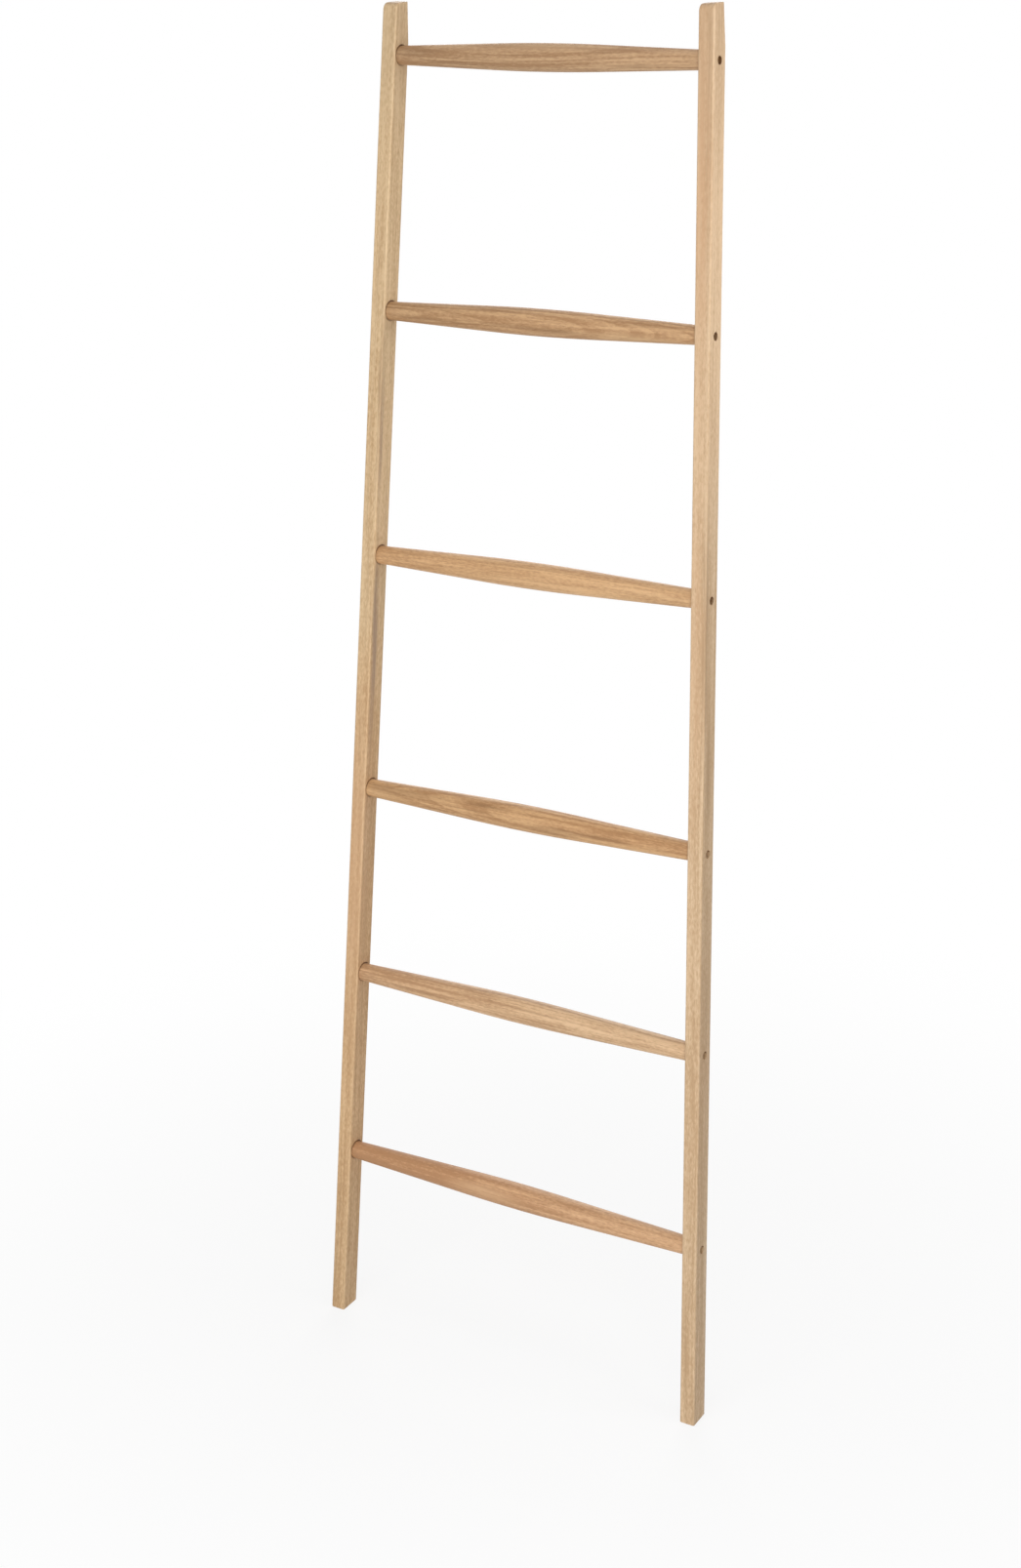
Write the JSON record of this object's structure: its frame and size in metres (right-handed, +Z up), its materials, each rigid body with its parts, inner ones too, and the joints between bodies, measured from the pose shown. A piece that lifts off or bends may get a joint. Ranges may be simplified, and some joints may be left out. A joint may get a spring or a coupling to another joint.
{
  "type": "towel ladder",
  "caption": "Leaning wooden towel ladder: rails that draw together towards the top, with turned rungs bolted into round sockets between them, for hanging towels against a wall.",
  "frame": {"origin": "on the floor, midway between the rails and midway between the front of the feet and the wall", "axes": "+Z up, +X to the right seen from the front, +Y towards the wall that the ladder leans on"},
  "size_m": [0.55, 0.2099, 1.7049],
  "materials": {
    "rail_wood": "oiled, satin",
    "rung_wood": "oiled, satin",
    "dark_steel": "browned",
    "insert_brass": "plain"
  },
  "bodies": {
    "root": {"left_rail": "rail_wood", "right_rail": "rail_wood", "rung_1": "rung_wood", "rung_2": "rung_wood", "rung_3": "rung_wood", "rung_4": "rung_wood", "rung_5": "rung_wood", "rung_6": "rung_wood", "left_bolt_1": "dark_steel", "left_insert_1": "insert_brass", "right_bolt_1": "dark_steel", "right_insert_1": "insert_brass", "left_bolt_2": "dark_steel", "left_insert_2": "insert_brass", "right_bolt_2": "dark_steel", "right_insert_2": "insert_brass", "left_bolt_3": "dark_steel", "left_insert_3": "insert_brass", "right_bolt_3": "dark_steel", "right_insert_3": "insert_brass", "left_bolt_4": "dark_steel", "left_insert_4": "insert_brass", "right_bolt_4": "dark_steel", "right_insert_4": "insert_brass", "left_bolt_5": "dark_steel", "left_insert_5": "insert_brass", "right_bolt_5": "dark_steel", "right_insert_5": "insert_brass", "left_bolt_6": "dark_steel", "left_insert_6": "insert_brass", "right_bolt_6": "dark_steel", "right_insert_6": "insert_brass"}
  },
  "joints": []
}
